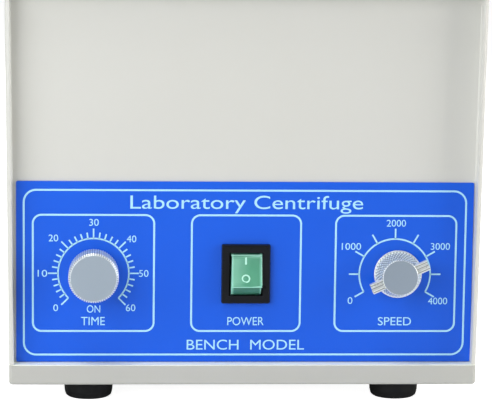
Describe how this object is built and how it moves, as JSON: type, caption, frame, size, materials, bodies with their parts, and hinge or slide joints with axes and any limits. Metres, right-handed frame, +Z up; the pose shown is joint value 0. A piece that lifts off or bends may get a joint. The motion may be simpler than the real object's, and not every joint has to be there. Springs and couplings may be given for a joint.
{
  "type": "laboratory centrifuge",
  "caption": "Bench laboratory centrifuge: square casing with a hinged windowed lid, fixed-angle tube rotor, blue front panel with timer knob, rocker switch and speed knob",
  "frame": {"origin": "centre of the machine's footprint, at the bottom of its rubber feet", "axes": "+X to the operator's right, the front panel faces -Y, +Z up"},
  "size_m": [0.25, 0.2674, 0.2626],
  "materials": {
    "casing": "satin moulded plastic, warm off-white",
    "overlay": "printed polyester film, blue, satin",
    "rubber": "matte black rubber",
    "knob_aluminium": "turned aluminium, brushed face, knurled side",
    "bar_zinc": "plated zinc, satin",
    "black_plastic": "black nylon, semi-gloss",
    "rocker_green": "translucent green polycarbonate",
    "window_clear": "clear acrylic pane",
    "chamber_steel": "spun stainless steel",
    "rotor_aluminium": "satin machined aluminium",
    "steel": "zinc-plated or ground steel",
    "copper_windings": "enamelled copper windings",
    "circuit_board": "green solder mask"
  },
  "bodies": {
    "root": {"base_pan": "casing", "foot_front_left": "rubber", "foot_front_right": "rubber", "foot_rear_left": "rubber", "foot_rear_right": "rubber", "housing_shell": "casing", "rear_panel": "casing", "top_deck": "casing", "control_label": "overlay", "chamber_bowl": "chamber_steel", "shaft_seal": "rubber", "hinge_case_leaf_left": "steel", "hinge_case_leaf_right": "steel", "hinge_pin_left": "steel", "hinge_pin_right": "steel", "latch_keeper": "steel", "motor_can": "steel", "motor_end_bell": "rotor_aluminium", "field_stator": "copper_windings", "bearing_lower": "steel", "bearing_upper": "steel", "brush_holder_left": "black_plastic", "brush_holder_right": "black_plastic", "motor_plate": "steel", "damper_1": "rubber", "damper_2": "rubber", "damper_3": "rubber", "timer_body": "black_plastic", "speed_control": "steel", "switch_body": "black_plastic", "mains_inlet": "black_plastic", "fuse_holder": "black_plastic", "control_board": "circuit_board", "heat_sink": "rotor_aluminium"},
    "lid": {"lid_shell": "casing", "lid_liner": "casing", "lid_window": "window_clear", "window_ring": "casing", "lid_gasket": "rubber", "hinge_lid_leaf_left": "steel", "hinge_lid_leaf_right": "steel"},
    "latch": {"latch_cam": "bar_zinc", "latch_knob": "black_plastic"},
    "spinner": {"rotor": "rotor_aluminium", "rotor_nut": "steel", "tube_sleeve_1": "chamber_steel", "tube_sleeve_2": "chamber_steel", "tube_sleeve_3": "chamber_steel", "tube_sleeve_4": "chamber_steel", "tube_sleeve_5": "chamber_steel", "tube_sleeve_6": "chamber_steel", "motor_shaft": "steel", "armature": "copper_windings", "cooling_fan": "black_plastic"},
    "timer_dial": {"timer_knob": "knob_aluminium", "timer_shaft": "steel"},
    "speed_dial": {"speed_knob": "knob_aluminium", "speed_shaft": "steel", "knob_pointer_bar": "bar_zinc"},
    "rocker": {"switch_rocker": "rocker_green"}
  },
  "joints": [
    {"name": "lid_hinge", "type": "hinge", "parent": "root", "child": "lid", "pos_m": [0, 0.1297, 0.2289], "axis": [-1, 0, 0], "range_deg": [0, 95]},
    {"name": "latch_turn", "type": "hinge", "parent": "lid", "child": "latch", "pos_m": [0, -0.1135, 0.25], "axis": [0, 0, 1], "range_deg": [0, 90]},
    {"name": "rotor_spin", "type": "hinge", "parent": "root", "child": "spinner", "pos_m": [0, 0, 0.2], "axis": [0, 0, 1], "continuous": true},
    {"name": "timer_turn", "type": "hinge", "parent": "root", "child": "timer_dial", "pos_m": [-0.0789, -0.13, 0.0678], "axis": [0, 1, 0], "range_deg": [-45, 270]},
    {"name": "speed_turn", "type": "hinge", "parent": "root", "child": "speed_dial", "pos_m": [0.0811, -0.13, 0.0678], "axis": [0, 1, 0], "range_deg": [-6, 234]},
    {"name": "switch_rock", "type": "hinge", "parent": "root", "child": "rocker", "pos_m": [0.0008, -0.1134, 0.0678], "axis": [1, 0, 0], "range_deg": [0, 25.6]}
  ]
}
